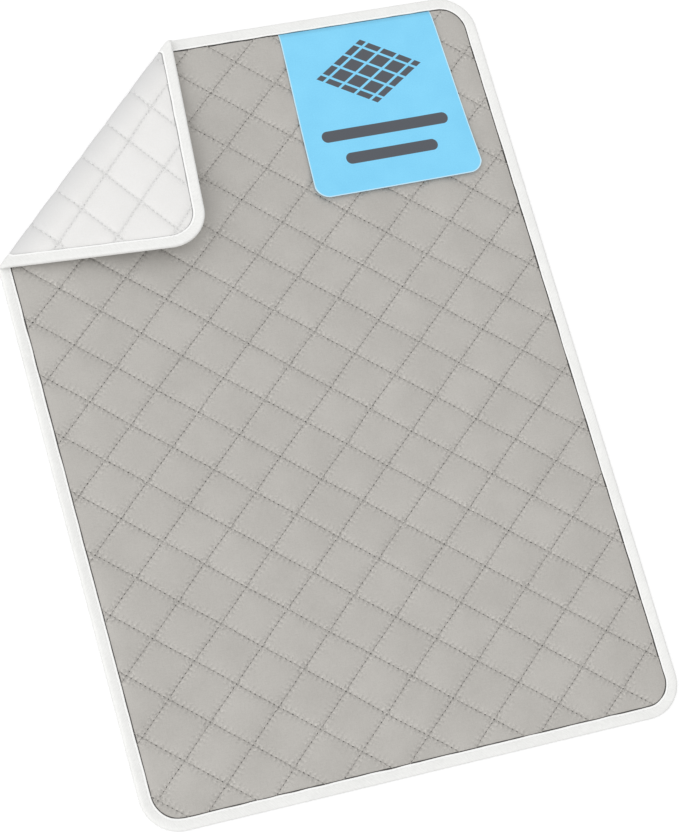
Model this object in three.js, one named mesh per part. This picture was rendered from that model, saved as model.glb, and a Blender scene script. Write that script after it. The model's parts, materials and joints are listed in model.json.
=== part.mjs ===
import * as THREE from "three";

// An ironing pad that lies face up on a table with one corner turned over.
// Millimetres, +Z up, X across the pad, Y along it, the origin on the table under the middle.

// Outline of the pad
const padWidth = 500;
const padLength = 700;
const cornerRadius = 34;
const cornerSteps = 6;

// Thickness of each layer, and how far the face stands up between stitch lines
const clothThickness = 0.5;
const tapeThickness = 0.7;
const tapeWidth = 10.5;
const labelThickness = 0.4;
const seamWadding = 0.8;
const puffRise = 2;
const clearance = 0.3;

// Quilting: two crossing sets of stitch lines, each set this far apart and this steep
const quiltAngle = THREE.MathUtils.degToRad(40.85);
const quiltPitch = 40.25;
const quiltCrossing = new THREE.Vector2(12, 1.6);
const smallestPuff = 4;

// Turned corner: the fold line, measured from the sharp corner, and how far the flap stands up
const foldAngle = THREE.MathUtils.degToRad(42);
const foldReach = 139;
const flapLift = THREE.MathUtils.degToRad(9.5);
const foldMargin = 4;
const foldSteps = 12;

// Label under the top tape, wider at its lower end
const labelTopWidth = 152;
const labelBottomWidth = 165;
const labelDrop = 163;
const labelCentre = 135;
const labelRounding = 14;
const labelTuck = 8;
const labelRamp = 2.6;

// Heights of the layers where they are sewn down, from the table up
const backingLevel = tapeThickness + clearance;
const waddingLevel = backingLevel + clothThickness + clearance;
const coverLevel = waddingLevel + seamWadding + clearance;
const tabLevel = coverLevel + clothThickness + clearance;
const tapeTopLevel = tabLevel + labelThickness + clearance;
const edgeHeight = tapeTopLevel + tapeThickness;
const crownHeight = coverLevel + clothThickness + puffRise;
const labelLevel = crownHeight + clearance;
const hingeHeight = crownHeight + clearance;

// The layers end just inside the tape's edge, and the puffs begin just inside its visible width
const layerInset = tapeThickness + clearance;
const puffInset = tapeWidth + clearance;

// Fold line in plan, with its normal towards the turned corner
const turnedCorner = new THREE.Vector2(-padWidth / 2, padLength / 2);
const foldDirection = new THREE.Vector2(Math.cos(foldAngle), Math.sin(foldAngle));
const foldNormal = new THREE.Vector2(-foldDirection.y, foldDirection.x);
const foldOrigin = turnedCorner.clone().addScaledVector(foldNormal, -foldReach);
const foldTurn = Math.PI - flapLift;

// How far a point in plan lies beyond the fold line, on the corner's side
function beyondFold(point) {
  return point.clone().sub(foldOrigin).dot(foldNormal);
}

// One rounded corner of the outline, counted from the lower right one anticlockwise
function cornerPoints(corner, inset) {
  const start = (corner - 1) * Math.PI / 2;
  const middle = start + Math.PI / 4;
  const centre = new THREE.Vector2(
    Math.sign(Math.cos(middle)) * (padWidth / 2 - cornerRadius),
    Math.sign(Math.sin(middle)) * (padLength / 2 - cornerRadius),
  );
  const points = [];
  for (let step = 0; step <= cornerSteps; step++) {
    const angle = start + step / cornerSteps * Math.PI / 2;
    const arm = new THREE.Vector2(Math.cos(angle), Math.sin(angle));
    points.push(centre.clone().addScaledVector(arm, cornerRadius - inset));
  }
  return points;
}

function outline(inset) {
  return [0, 1, 2, 3].flatMap((corner) => cornerPoints(corner, inset));
}

// The part of a convex polygon where the given distance is not negative
function clip(polygon, distance) {
  const kept = [];
  polygon.forEach((point, index) => {
    const next = polygon[(index + 1) % polygon.length];
    const here = distance(point);
    const there = distance(next);
    if (here >= 0) {
      kept.push(point);
    }
    if (here * there < 0) {
      kept.push(point.clone().lerp(next, here / (here - there)));
    }
  });
  return kept;
}

function clipToOutline(polygon, convexOutline) {
  let kept = polygon;
  convexOutline.forEach((from, index) => {
    const along = convexOutline[(index + 1) % convexOutline.length].clone().sub(from).normalize();
    kept = clip(kept, (point) => along.cross(point.clone().sub(from)));
  });
  return kept;
}

// Outline of the flat part (side -1) or of the corner (side +1), cut back from the fold line
function sideOutline(inset, side, margin) {
  return clip(outline(inset), (point) => side * beyondFold(point) - margin);
}

function polygonArea(polygon) {
  return THREE.ShapeUtils.area(polygon);
}

function polygonCentre(polygon) {
  const centre = new THREE.Vector2();
  polygon.forEach((point, index) => {
    const next = polygon[(index + 1) % polygon.length];
    const share = point.cross(next) / (6 * polygonArea(polygon));
    centre.addScaledVector(point, share).addScaledVector(next, share);
  });
  return centre;
}

// A flat net of triangles whose points carry a puff height from 0 at a seam to 1 at a crown
class Net {
  points = [];
  puffs = [];
  triangles = [];

  place(point, puff) {
    const same = this.points.findIndex((other) => other.distanceTo(point) < clearance / 10);
    if (same >= 0) {
      return same;
    }
    this.points.push(point);
    this.puffs.push(puff);
    return this.points.length - 1;
  }

  fan(polygon, middle, puff) {
    const hub = this.place(middle, puff);
    const rim = polygon.map((point) => this.place(point, 0));
    rim.forEach((from, index) => {
      const to = rim[(index + 1) % rim.length];
      if (from !== to) {
        this.triangles.push([hub, from, to]);
      }
    });
  }

  // The net's edge as a closed loop of point numbers
  rim() {
    const following = new Map();
    const used = new Set(this.triangles.flatMap(([a, b, c]) => [`${a} ${b}`, `${b} ${c}`, `${c} ${a}`]));
    used.forEach((edge) => {
      const [from, to] = edge.split(" ").map(Number);
      if (!used.has(`${to} ${from}`)) {
        following.set(from, to);
      }
    });
    const loop = [following.keys().next().value];
    while (following.get(loop.at(-1)) !== loop[0]) {
      loop.push(following.get(loop.at(-1)));
    }
    return loop;
  }

  // Fills the band between the net's edge and a wider outline round it
  widen(outerOutline) {
    const inner = this.rim();
    const outer = outerOutline.map((point) => this.place(point, 0));
    const gap = (a, b) => this.points[a].distanceTo(this.points[b]);
    const nearest = outer.reduce((best, index) => (gap(index, inner[0]) < gap(best, inner[0]) ? index : best));
    const shift = outer.indexOf(nearest);
    const innerAt = (step) => inner[step % inner.length];
    const outerAt = (step) => outer[(step + shift) % outer.length];
    let inside = 0;
    let outside = 0;
    while (inside < inner.length || outside < outer.length) {
      const innerStep = gap(innerAt(inside + 1), outerAt(outside));
      const outerStep = gap(innerAt(inside), outerAt(outside + 1));
      if (outside === outer.length || (inside < inner.length && innerStep < outerStep)) {
        this.triangles.push([innerAt(inside), outerAt(outside), innerAt(inside + 1)]);
        inside += 1;
      } else {
        this.triangles.push([innerAt(inside), outerAt(outside), outerAt(outside + 1)]);
        outside += 1;
      }
    }
  }
}

// A closed body from points and triangles, turned so that it faces out
function body(points, triangles) {
  const volume = triangles.reduce((sum, [a, b, c]) => (
    sum + points[a].dot(points[b].clone().cross(points[c]))
  ), 0);
  const facing = volume < 0 ? triangles.map(([a, b, c]) => [a, c, b]) : triangles;
  const geometry = new THREE.BufferGeometry().setFromPoints(points);
  geometry.setIndex(facing.flat());
  const faceted = geometry.toNonIndexed();
  faceted.computeVertexNormals();
  return faceted;
}

// A layer over a net: the two levels are at the seams, the two rises at the crowns
function layer(net, lowLevel, highLevel, lowRise, highRise) {
  const low = net.points.map((point, index) => (
    new THREE.Vector3(point.x, point.y, lowLevel + lowRise * net.puffs[index])
  ));
  const high = net.points.map((point, index) => (
    new THREE.Vector3(point.x, point.y, highLevel + highRise * net.puffs[index])
  ));
  const lift = low.length;
  const triangles = net.triangles.flatMap(([a, b, c]) => [[a, c, b], [a + lift, b + lift, c + lift]]);
  const loop = net.rim();
  loop.forEach((from, index) => {
    const to = loop[(index + 1) % loop.length];
    triangles.push([from, to, to + lift]);
    triangles.push([from, to + lift, from + lift]);
  });
  return body([...low, ...high], triangles);
}

// A body swept through equal rings of points, closed at both ends by the section's triangles
function sweep(rings, section) {
  const count = section.length;
  const reversed = THREE.ShapeUtils.isClockWise(section);
  const ends = THREE.ShapeUtils.triangulateShape(section, [])
    .map(([a, b, c]) => (reversed ? [a, c, b] : [a, b, c]));
  const last = (rings.length - 1) * count;
  const triangles = ends.flatMap(([a, b, c]) => [[a, c, b], [a + last, b + last, c + last]]);
  for (let ring = 0; ring + 1 < rings.length; ring++) {
    for (let index = 0; index < count; index++) {
      const from = ring * count + index;
      const to = ring * count + (index + 1) % count;
      triangles.push([from, to, to + count]);
      triangles.push([from, to + count, from + count]);
    }
  }
  return body(rings.flat(), triangles);
}

// The quilted net of one side of the fold line: a pyramid for each diamond between stitch lines
function quiltedNet(side) {
  const net = new Net();
  const inner = sideOutline(puffInset, side, foldMargin);
  const edge = quiltPitch / Math.sin(2 * quiltAngle);
  const rising = new THREE.Vector2(Math.cos(quiltAngle), Math.sin(quiltAngle)).multiplyScalar(edge);
  const falling = new THREE.Vector2(-rising.x, rising.y);
  const crossing = (i, j) => quiltCrossing.clone().addScaledVector(rising, i).addScaledVector(falling, j);
  const reach = Math.ceil((padWidth + padLength) / edge / 2);
  for (let i = -reach; i <= reach; i++) {
    for (let j = -reach; j <= reach; j++) {
      const diamond = [crossing(i, j), crossing(i + 1, j), crossing(i + 1, j + 1), crossing(i, j + 1)];
      const cell = clipToOutline(diamond, inner);
      if (cell.length > 2 && polygonArea(cell) > smallestPuff) {
        const puff = Math.sqrt(polygonArea(cell) / polygonArea(diamond));
        net.fan(cell, polygonCentre(cell), puff);
      }
    }
  }
  net.widen(sideOutline(layerInset, side, clearance));
  return net;
}

// Section of the folded tape: distance in from the edge, and height
function tapeSection() {
  return [
    new THREE.Vector2(tapeThickness, 0),
    new THREE.Vector2(0, tapeThickness),
    new THREE.Vector2(0, edgeHeight - tapeThickness),
    new THREE.Vector2(tapeThickness, edgeHeight),
    new THREE.Vector2(tapeWidth, edgeHeight),
    new THREE.Vector2(tapeWidth, tapeTopLevel),
    new THREE.Vector2(tapeThickness, tapeTopLevel),
    new THREE.Vector2(tapeThickness, tapeThickness),
    new THREE.Vector2(tapeWidth, tapeThickness),
    new THREE.Vector2(tapeWidth, 0),
  ];
}

// Where a line set in from the left or the top edge crosses a line this far beyond the fold line
function edgePoint(onTop, inset, beyond) {
  const point = foldOrigin.clone().addScaledVector(foldNormal, beyond);
  const along = onTop
    ? (padLength / 2 - inset - point.y) / foldDirection.y
    : (inset - padWidth / 2 - point.x) / foldDirection.x;
  return point.addScaledVector(foldDirection, along);
}

// Tape along the given corners, with an end on the fold line before the first and after the last
function tape(corners, side) {
  const section = tapeSection();
  const startsOnTop = side > 0;
  const paths = section.map(({ x: inset }) => [
    edgePoint(startsOnTop, inset, side * clearance),
    ...corners.flatMap((corner) => cornerPoints(corner, inset)),
    edgePoint(!startsOnTop, inset, side * clearance),
  ]);
  const rings = paths[0].map((unused, step) => section.map(({ y: height }, index) => (
    new THREE.Vector3(paths[index][step].x, paths[index][step].y, height)
  )));
  return sweep(rings, section);
}

// A section across the fold, turned about the hinge from the flat part to the flap
function foldRoll(section) {
  const rings = [];
  for (let step = 0; step <= foldSteps; step++) {
    const turn = step / foldSteps * foldTurn;
    rings.push(section.map(({ onTop, inset, height }) => {
      const arm = hingeHeight - height;
      const plan = edgePoint(onTop, inset, arm * Math.sin(turn));
      return new THREE.Vector3(plan.x, plan.y, hingeHeight - arm * Math.cos(turn));
    }));
  }
  return sweep(rings, section.map(({ onTop, inset, height }) => (
    new THREE.Vector2(edgePoint(onTop, inset, 0).dot(foldDirection), height)
  )));
}

function layerRoll(level, thickness) {
  return foldRoll([
    { onTop: false, inset: layerInset, height: level },
    { onTop: true, inset: layerInset, height: level },
    { onTop: true, inset: layerInset, height: level + thickness },
    { onTop: false, inset: layerInset, height: level + thickness },
  ]);
}

function tapeRoll(onTop) {
  return foldRoll(tapeSection().map(({ x: inset, y: height }) => ({ onTop, inset, height })));
}

// Turns a piece of the corner over about the hinge
function turnOver(geometry) {
  const axis = new THREE.Vector3(foldDirection.x, foldDirection.y, 0);
  const hinge = new THREE.Vector3(foldOrigin.x, foldOrigin.y, hingeHeight);
  geometry.translate(-hinge.x, -hinge.y, -hinge.z);
  geometry.applyMatrix4(new THREE.Matrix4().makeRotationAxis(axis, foldTurn));
  return geometry.translate(hinge.x, hinge.y, hinge.z);
}

// The label's sewn tab comes out from under the tape and climbs to the level of the crowns
const tapeInnerEdge = padLength / 2 - tapeWidth;
const tabBend = tapeInnerEdge - clearance;
const tabShoulder = tabBend - labelRamp;
const tabEnd = tabShoulder - labelThickness;

function labelTab() {
  const half = labelTopWidth / 2;
  const ring = (y, level) => [
    new THREE.Vector3(labelCentre - half, y, level),
    new THREE.Vector3(labelCentre + half, y, level),
    new THREE.Vector3(labelCentre + half, y, level + labelThickness),
    new THREE.Vector3(labelCentre - half, y, level + labelThickness),
  ];
  const rings = [
    ring(tapeInnerEdge + labelTuck, tabLevel),
    ring(tabBend, tabLevel),
    ring(tabShoulder, labelLevel),
    ring(tabEnd, labelLevel),
  ];
  return sweep(rings, rings[0].map(({ x, z }) => new THREE.Vector2(x, z)));
}

function labelFlap() {
  const top = tabEnd - clearance;
  const bottom = tapeInnerEdge - labelDrop;
  const half = labelBottomWidth / 2 - labelRounding;
  const points = [
    new THREE.Vector2(labelCentre + labelTopWidth / 2, top),
    new THREE.Vector2(labelCentre - labelTopWidth / 2, top),
  ];
  for (const side of [-1, 1]) {
    for (let step = 0; step <= cornerSteps; step++) {
      const angle = ((5 + side) / 2 + step / cornerSteps) * Math.PI / 2;
      const arm = new THREE.Vector2(Math.cos(angle), Math.sin(angle));
      points.push(new THREE.Vector2(labelCentre + side * half, bottom + labelRounding)
        .addScaledVector(arm, labelRounding));
    }
  }
  const net = new Net();
  net.fan(points, new THREE.Vector2(labelCentre, (top + bottom) / 2), 0);
  return layer(net, labelLevel, labelLevel + labelThickness, 0, 0);
}

const coverCloth = new THREE.MeshStandardMaterial({ color: 0xbebbb6, roughness: 0.9, metalness: 0 });
const backingCloth = new THREE.MeshStandardMaterial({ color: 0xefeeec, roughness: 0.9, metalness: 0 });
const feltWadding = new THREE.MeshStandardMaterial({ color: 0xe6e2da, roughness: 1, metalness: 0 });
const wovenTape = new THREE.MeshStandardMaterial({ color: 0xf4f3f1, roughness: 0.8, metalness: 0 });
const labelSheet = new THREE.MeshStandardMaterial({ color: 0x82d5fa, roughness: 0.6, metalness: 0 });

const pad = new THREE.Group();

function addPiece(name, geometry, finish) {
  const mesh = new THREE.Mesh(geometry, finish);
  mesh.name = name;
  pad.add(mesh);
}

// The three layers of one side of the fold line, from the table up
function layersOf(net) {
  const crownDrop = -backingLevel;
  return {
    backing: layer(net, backingLevel, backingLevel + clothThickness, crownDrop, crownDrop),
    wadding: layer(net, waddingLevel, waddingLevel + seamWadding, crownDrop, puffRise),
    cover: layer(net, coverLevel, coverLevel + clothThickness, puffRise, puffRise),
  };
}

const flat = layersOf(quiltedNet(-1));
addPiece("backing_panel", flat.backing, backingCloth);
addPiece("wadding_panel", flat.wadding, feltWadding);
addPiece("cover_panel", flat.cover, coverCloth);
addPiece("binding_main", tape([3, 0, 1], -1), wovenTape);

const turned = layersOf(quiltedNet(1));
addPiece("backing_corner", turnOver(turned.backing), backingCloth);
addPiece("wadding_corner", turnOver(turned.wadding), feltWadding);
addPiece("cover_corner", turnOver(turned.cover), coverCloth);
addPiece("binding_corner", turnOver(tape([2], 1)), wovenTape);

addPiece("backing_fold", layerRoll(backingLevel, clothThickness), backingCloth);
addPiece("wadding_fold", layerRoll(waddingLevel, seamWadding), feltWadding);
addPiece("cover_fold", layerRoll(coverLevel, clothThickness), coverCloth);
addPiece("binding_fold_left", tapeRoll(false), wovenTape);
addPiece("binding_fold_top", tapeRoll(true), wovenTape);

addPiece("label_tab", labelTab(), labelSheet);
addPiece("label_flap", labelFlap(), labelSheet);

export default pad;
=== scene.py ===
"""Dresses a quilted ironing pad that lies on a table with a turned corner and a label."""

import json
import logging
import math
from contextlib import contextmanager
from dataclasses import dataclass, replace
from enum import Enum, IntEnum
from typing import Any, Callable, Iterable, Iterator, Optional, Union

import bpy
import numpy as np
from mathutils import Matrix, Vector


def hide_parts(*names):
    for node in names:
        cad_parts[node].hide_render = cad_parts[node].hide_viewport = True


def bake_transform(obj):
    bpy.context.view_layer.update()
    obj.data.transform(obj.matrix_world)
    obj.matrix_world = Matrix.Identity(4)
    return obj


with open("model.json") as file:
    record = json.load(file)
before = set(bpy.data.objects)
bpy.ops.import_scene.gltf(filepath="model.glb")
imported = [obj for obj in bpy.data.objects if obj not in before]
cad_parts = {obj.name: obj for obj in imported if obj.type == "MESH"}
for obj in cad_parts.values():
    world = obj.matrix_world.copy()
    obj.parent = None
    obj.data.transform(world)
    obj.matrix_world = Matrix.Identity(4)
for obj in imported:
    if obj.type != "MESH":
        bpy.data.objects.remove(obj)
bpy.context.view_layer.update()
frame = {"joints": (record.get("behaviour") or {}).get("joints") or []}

Piece = bpy.types.Object
Array = np.ndarray
Color = tuple[float, float, float, float]
Plane = tuple[Vector, Vector]
Value = Union["Shade", float]

LOG = logging.getLogger("ironing_pad")
PHOTO_HEIGHT_PX = 840
MM = 0.001
TINY = 1e-6


def find_joint(name: str) -> dict[str, Any]:
    """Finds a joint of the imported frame."""
    return next(joint for joint in frame["joints"] if joint["name"] == name)


def smooth(value: Array) -> Array:
    """Eases values from 0 to 1 with no corner at either end."""
    t = np.clip(value, 0.0, 1.0)
    return t * t * (3.0 - 2.0 * t)


def lengths_along(line: Array) -> Array:
    """Gives the distance from a line's first point to each of its points."""
    steps = np.linalg.norm(np.diff(line, axis=0), axis=1)
    return np.concatenate([[0.0], np.cumsum(steps)])


@dataclass(frozen=True)
class Ripple:
    """A smooth random field over a plan, in metres."""

    size: float
    wavelength: float
    seed: int
    waves: int = 14
    pitches: tuple[float, float] = (0.6, 1.7)
    crest: float = 1.5

    def over(self, plan: Array) -> Array:
        """Adds up plane waves of random heading, pitch and phase.

        Args:
            plan: Points as rows that start with x and y.

        Returns:
            A value for each point, about plus or minus the ripple's size.
        """
        draw = np.random.default_rng(self.seed)
        total = np.zeros(len(plan))
        for _ in range(self.waves):
            heading = draw.uniform(0.0, math.tau)
            pitch = self.wavelength * draw.uniform(*self.pitches)
            phase = draw.uniform(0.0, math.tau)
            along = plan[:, 0] * math.cos(heading) + plan[:, 1] * math.sin(heading)
            total += np.sin(math.tau * along / pitch + phase)
        return self.size * (total * math.sqrt(2.0 / self.waves) / self.crest)


# Plan of the pad


@dataclass(frozen=True)
class PadPlan:
    """Outline of the pad and the heights that its layers share, in metres."""

    width: float = 0.500
    length: float = 0.700
    corner_radius: float = 0.034
    corner_cuts: int = 6
    tape_width: float = 0.0105
    cover_seam: float = 0.0033
    cover_crown: float = 0.0054
    backing_seam: float = 0.0018
    backing_crown: float = 0.0001
    wadding_skin: float = 0.0003

    @property
    def corner_centre(self) -> tuple[float, float]:
        """Gives the centre of the rounded corner on the right at the top."""
        return self.width / 2 - self.corner_radius, self.length / 2 - self.corner_radius

    def depth(self, plan: Array) -> Array:
        """Measures how far inside the outline points lie.

        Args:
            plan: Points as rows that start with x and y.

        Returns:
            The distance to the outline, negative outside it.
        """
        x = np.abs(plan[:, 0]) - self.width / 2 + self.corner_radius
        y = np.abs(plan[:, 1]) - self.length / 2 + self.corner_radius
        outside = np.hypot(np.maximum(x, 0.0), np.maximum(y, 0.0))
        return self.corner_radius - outside - np.minimum(np.maximum(x, y), 0.0)

    def tangents(self, inset: float) -> list[Plane]:
        """Lists the cutting planes round an outline that is set in from the edge.

        Args:
            inset: Distance in from the edge.

        Returns:
            A point and an outward direction for each plane.
        """
        planes = []
        count = 4 * self.corner_cuts
        for step in range(count):
            angle = step * math.tau / count
            out = Vector((math.cos(angle), math.sin(angle), 0.0))
            sides = [0.0 if abs(part) < TINY else math.copysign(1.0, part) for part in out[:2]]
            centre = Vector((*(side * at for side, at in zip(sides, self.corner_centre)), 0.0))
            planes.append((centre + out * (self.corner_radius - inset), out))
        return planes

    def walk(self, spacing: float) -> tuple[Array, Array, Array]:
        """Walks once round the outline, in half steps at the rounded corners.

        Args:
            spacing: Largest distance between two stations.

        Returns:
            Station points, inward directions, and distances walked.
        """
        points: list[Array] = []
        inward: list[Array] = []
        turns = int(self.corner_radius * math.pi / spacing)
        for corner in range(4):
            start = (corner - 1) * math.pi / 2
            here, after = (
                np.sign([math.cos(angle), math.sin(angle)]) * self.corner_centre
                for angle in (start + math.pi / 4, start + math.pi * 3 / 4)
            )
            for turn in np.linspace(0.0, math.pi / 2, turns + 1):
                out = np.array([math.cos(start + turn), math.sin(start + turn)])
                points.append(here + out * self.corner_radius)
                inward.append(-out)
            run = after - here
            count = int(np.linalg.norm(run) / spacing)
            for part in np.arange(1, count) / count:
                points.append(here + out * self.corner_radius + run * part)
                inward.append(-out)
        plan = np.array(points)
        return plan, np.array(inward), lengths_along(np.vstack([plan, plan[:1]]))


@dataclass(frozen=True)
class Quilt:
    """Two crossing sets of stitch lines, in metres."""

    angle: float = math.radians(40.88)
    pitch: float = 0.04043
    crossing: tuple[float, float] = (0.0141, 0.0015)
    cells: int = 22
    stitches: int = 9
    puff_power: float = 0.55
    wander: tuple[Ripple, Ripple] = (
        Ripple(0.00025, 0.07, seed=41, waves=10), Ripple(0.00025, 0.07, seed=42, waves=10),
    )
    drift_span: tuple[float, float] = (0.25, 0.35)
    drift_limit: float = 1.15
    drift_mm: tuple[tuple[int, int, float, float], ...] = (
        (0, 0, -0.55, 1.05), (0, 1, 0.06, -1.14), (0, 2, -1.46, -2.52), (0, 3, 0.58, -0.04),
        (1, 0, 0.45, -1.70), (1, 1, 0.08, -1.71), (1, 2, -0.24, 1.52),
        (2, 0, 1.52, 0.64), (2, 1, 0.19, -0.09), (3, 0, -0.38, -0.20),
    )

    @property
    def edge(self) -> float:
        """Gives the distance between two crossings along a line."""
        return self.pitch / math.sin(2 * self.angle)

    @property
    def steps(self) -> Array:
        """Gives the two steps from one crossing to the next as columns."""
        x, y = self.edge * math.cos(self.angle), self.edge * math.sin(self.angle)
        return np.array([[x, -x], [y, y]])

    def to_plan(self, lattice: Array) -> Array:
        """Turns lattice coordinates into places on the pad."""
        return lattice @ self.steps.T + np.array(self.crossing)

    def to_lattice(self, plan: Array) -> Array:
        """Turns places on the pad into lattice coordinates."""
        return (plan[:, :2] - np.array(self.crossing)) @ np.linalg.inv(self.steps).T

    def sewn(self, straight: Array) -> Array:
        """Moves places from the straight lattice to where the drifting lines are sewn.

        Each row of the drift holds a power of x, a power of y and a move along x and y.

        Args:
            straight: Places in plan, as rows of two.

        Returns:
            The moved places.
        """
        part = np.clip(straight / np.array(self.drift_span), -self.drift_limit, self.drift_limit)
        moves = np.column_stack([wander.over(straight) for wander in self.wander])
        for power_x, power_y, along_x, along_y in self.drift_mm:
            share = part[:, 0] ** power_x * part[:, 1] ** power_y
            moves += np.outer(share, (along_x * MM, along_y * MM))
        return straight + moves

    def seam_distance(self, plan: Array) -> Array:
        """Measures the distance to the nearest stitch line."""
        lattice = self.to_lattice(plan)
        return np.abs(lattice - np.round(lattice)).min(axis=1) * self.pitch

    def puff(self, plan: Array) -> Array:
        """Gives a pillow in each diamond, 0 on the stitch lines and 1 in the middle."""
        part = np.sin(math.pi * np.mod(self.to_lattice(plan), 1.0))
        return np.clip(part[:, 0] * part[:, 1], 0.0, 1.0) ** self.puff_power


@dataclass(frozen=True)
class Fold:
    """The turned corner: cloth is shaped flat and then bent about the corner's hinge."""

    hinge: Vector
    along: Vector
    turn: float
    strip: float = 0.0045
    ease: float = 0.018
    draw_in: float = 0.0033
    cuts: int = 24
    cut_reach: float = 2.0

    @classmethod
    def from_joint(cls, name: str) -> "Fold":
        """Reads the fold line and its turn from a packed joint.

        Args:
            name: The joint's name.

        Returns:
            The fold, whose normal points to the turned corner.
        """
        joint = find_joint(name)
        return cls(
            hinge=Vector(joint["pos_m"]),
            along=-Vector(joint["axis"]).normalized(),
            turn=math.radians(joint["range_deg"][1]),
        )

    @property
    def normal(self) -> Vector:
        """Gives the direction in plan from the fold line to the corner."""
        return Vector((-self.along.y, self.along.x, 0.0))

    def bent(self, points: Array, plan: PadPlan) -> Array:
        """Bends points of the flat pad over the roll.

        Args:
            points: Points of the flat pad as rows of three.
            plan: The pad's outline, whose edges the ends of the roll stay flush with.

        Returns:
            The points after the corner is turned over.
        """
        along, normal = np.array(self.along), np.array(self.normal)
        offset = points - np.array(self.hinge)
        side, across = offset @ along, offset @ normal
        left = (-plan.width / 2 - self.hinge.x) / self.along.x
        top = (plan.length / 2 - self.hinge.y) / self.along.y
        share = np.clip((side - left) / (top - left), 0.0, 1.0)
        slant = self.along.y / self.along.x
        lean = slant * (1.0 - share) - share / slant
        weight = smooth((across + self.strip) / (2 * self.strip))
        radius = -offset[:, 2]
        centre = self.draw_in * radius / self.hinge.z
        beyond = np.abs(across) - self.strip
        slack = centre + beyond * (self.ease - centre) / (self.ease - self.strip)
        eased = np.sign(across) * np.where(np.abs(across) < self.ease, slack, np.abs(across))
        in_roll = beyond < 0.0
        reach = np.where(in_roll, -centre * np.cos(math.pi * weight), eased)
        height = np.where(in_roll, centre * np.sin(math.pi * weight), 0.0) - radius
        angle = weight * self.turn
        out = reach * np.cos(angle) - height * np.sin(angle)
        up = reach * np.sin(angle) + height * np.cos(angle)
        side = side + (reach - across + np.where(in_roll, np.maximum(out, 0.0), 0.0)) * lean
        flat = np.outer(side, along) + np.outer(out, normal)
        return np.array(self.hinge) + flat + np.outer(up, (0.0, 0.0, 1.0))

    def turn_over(self, piece: Piece, plan: PadPlan, finer: bool = True) -> None:
        """Smooths a finished flat piece, can add edges along the roll, and bends it over the
        corner.

        Args:
            piece: The flat piece.
            plan: The pad's outline.
            finer: Whether the piece gets more edges along the roll.
        """
        shade_smooth(piece)
        if finer:
            steps = np.linspace(-self.cut_reach, self.cut_reach, self.cuts + 1) * self.strip
            cut(piece, [(self.hinge + self.normal * float(step), self.normal) for step in steps])
        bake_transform(piece)
        write_points(piece, self.bent(read_points(piece), plan))


# Mesh helpers


def read_rows(elements: Any, what: str) -> Array:
    """Reads a vector of each point or face of a mesh.

    Args:
        elements: The mesh's points or faces.
        what: The vector's name.

    Returns:
        The vectors as rows of three.
    """
    flat = np.empty(len(elements) * 3)
    elements.foreach_get(what, flat)
    return flat.reshape(-1, 3)


def read_points(piece: Piece) -> Array:
    """Gives a mesh's points as rows of three."""
    return read_rows(piece.data.vertices, "co")


def write_points(piece: Piece, points: Array) -> None:
    """Moves a mesh's points."""
    piece.data.vertices.foreach_set("co", np.ascontiguousarray(points, dtype=float).ravel())
    piece.data.update()


def only_select(piece: Piece) -> None:
    """Makes a piece the only selected object, and the active one.

    Args:
        piece: The piece.
    """
    bpy.ops.object.select_all(action="DESELECT")
    piece.select_set(True)
    bpy.context.view_layer.objects.active = piece


@contextmanager
def editing(piece: Piece) -> Iterator[None]:
    """Opens a piece in edit mode with all of its points selected, and closes it again.

    Args:
        piece: The piece.

    Yields:
        Nothing, while the piece is open.
    """
    only_select(piece)
    bpy.ops.object.mode_set(mode="EDIT")
    bpy.ops.mesh.select_mode(type="VERT")
    bpy.ops.mesh.select_all(action="SELECT")
    yield
    bpy.ops.object.mode_set(mode="OBJECT")


def add_primitive(name: str, add: Callable, **settings: Any) -> Piece:
    """Adds a primitive to start a piece from.

    Args:
        name: The piece's name.
        add: The operator that adds it.
        **settings: The operator's settings.

    Returns:
        The new object.
    """
    bpy.ops.object.select_all(action="DESELECT")
    add(**settings)
    piece = bpy.context.active_object
    piece.name = name
    piece.data.name = name
    return piece


def add_grid(name: str, columns: int, rows: int, size: float = 1.0) -> Piece:
    """Adds a flat grid at the origin to start a sheet from.

    Args:
        name: The piece's name.
        columns: Faces along X.
        rows: Faces along Y.
        size: Length of a side.

    Returns:
        The new object.
    """
    sides = {"x_subdivisions": columns, "y_subdivisions": rows, "size": size}
    return add_primitive(name, bpy.ops.mesh.primitive_grid_add, **sides, calc_uvs=False)


def cut(piece: Piece, planes: Iterable[Plane], trim: bool = False) -> None:
    """Adds edges where planes cross a piece.

    Args:
        piece: The piece.
        planes: Points on the planes and their outward directions.
        trim: Whether what lies outside each plane is cut off.
    """
    with editing(piece):
        for point, out in planes:
            bpy.ops.mesh.select_all(action="SELECT")
            bpy.ops.mesh.bisect(plane_co=point, plane_no=out, clear_outer=trim, use_fill=False)


def delete_faces(piece: Piece, doomed: Array) -> None:
    """Deletes faces of a piece.

    Args:
        piece: The piece.
        doomed: A mask of the faces.
    """
    with editing(piece):
        bpy.ops.mesh.select_mode(type="FACE")
        bpy.ops.mesh.select_all(action="DESELECT")
    piece.data.polygons.foreach_set("select", doomed)
    bpy.ops.object.mode_set(mode="EDIT")
    bpy.ops.mesh.delete(type="FACE")
    bpy.ops.object.mode_set(mode="OBJECT")


def thicken(piece: Piece, thickness: float, **settings: Any) -> None:
    """Gives a sheet its thickness.

    Args:
        piece: The sheet.
        thickness: The thickness, in metres.
        **settings: Further values of the Solidify modifier.
    """
    only_select(piece)
    modifier = piece.modifiers.new("Thickness", "SOLIDIFY")
    for key, value in {"thickness": thickness, **settings}.items():
        setattr(modifier, key, value)
    bpy.ops.object.modifier_apply(modifier=modifier.name)


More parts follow.
